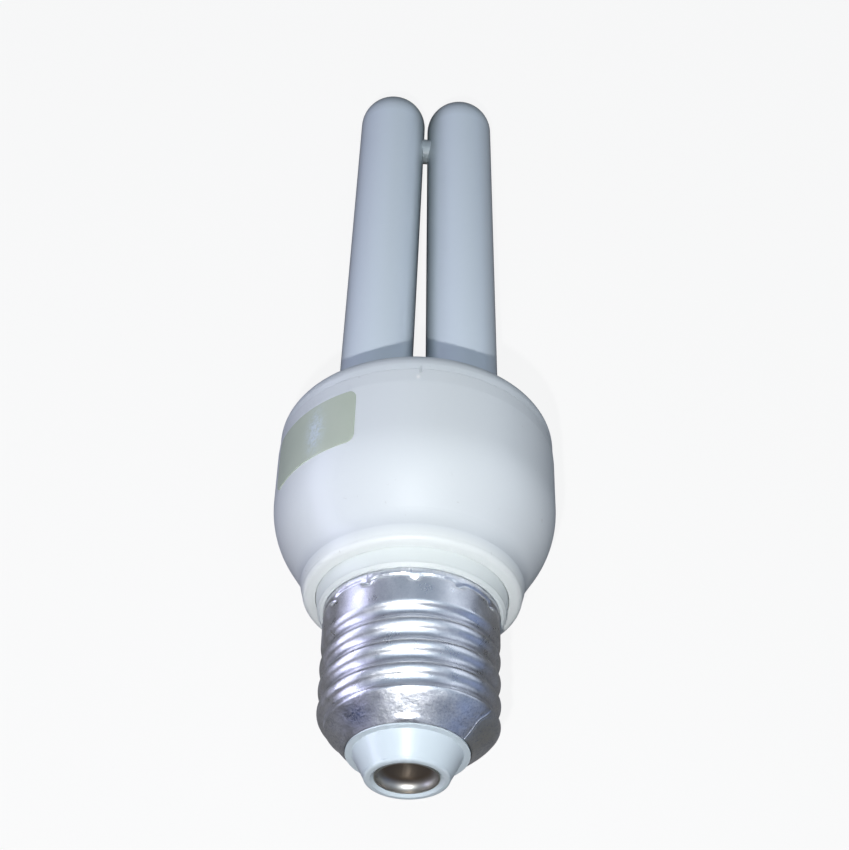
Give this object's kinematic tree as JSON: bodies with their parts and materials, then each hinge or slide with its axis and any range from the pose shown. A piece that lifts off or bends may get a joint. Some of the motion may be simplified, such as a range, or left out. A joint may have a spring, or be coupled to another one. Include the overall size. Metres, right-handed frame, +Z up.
{
  "type": "compact fluorescent lamp",
  "caption": "Compact fluorescent lamp with a U shaped glass tube, a round white housing and a screw base.",
  "frame": {"origin": "middle of the lamp's footprint, on the ground it lies on", "axes": "+Y along the lamp from the screw base towards the tube's domes, +Z up, +X across the two legs"},
  "size_m": [0.0438, 0.1406, 0.0454],
  "materials": {
    "base_metal": "scratched satin",
    "insulator_white": "smooth",
    "contact_metal": "dull",
    "collar_plastic": "smooth",
    "housing_white": "satin",
    "label_face": "matt",
    "coated_glass": "gloss over a white coat",
    "cement": "rough",
    "wire_metal": "tinned",
    "board": "laminate",
    "capacitor_sleeve": "satin",
    "ferrite": "matt",
    "bobbin_plastic": "matt",
    "copper": "lacquered",
    "film_case": "dipped",
    "black_case": "moulded",
    "resistor_coat": "lacquered"
  },
  "bodies": {
    "root": {"screw_shell": "base_metal", "insulator": "insulator_white", "contact": "contact_metal", "neck_collar": "collar_plastic", "lower_housing": "housing_white", "tube_cover": "housing_white", "rating_label": "label_face", "discharge_tube": "coated_glass", "tube_cement": "cement", "tube_leads": "wire_metal", "circuit_board": "board", "wire_posts": "wire_metal", "filter_capacitor": "capacitor_sleeve", "choke_core": "ferrite", "choke_bobbin": "bobbin_plastic", "choke_winding": "copper", "drive_ring": "ferrite", "drive_windings": "copper", "film_capacitors": "film_case", "transistors": "black_case", "fuse_resistor": "resistor_coat", "diodes": "black_case", "resistors": "resistor_coat", "contact_lead": "wire_metal", "shell_lead": "wire_metal"}
  },
  "joints": []
}
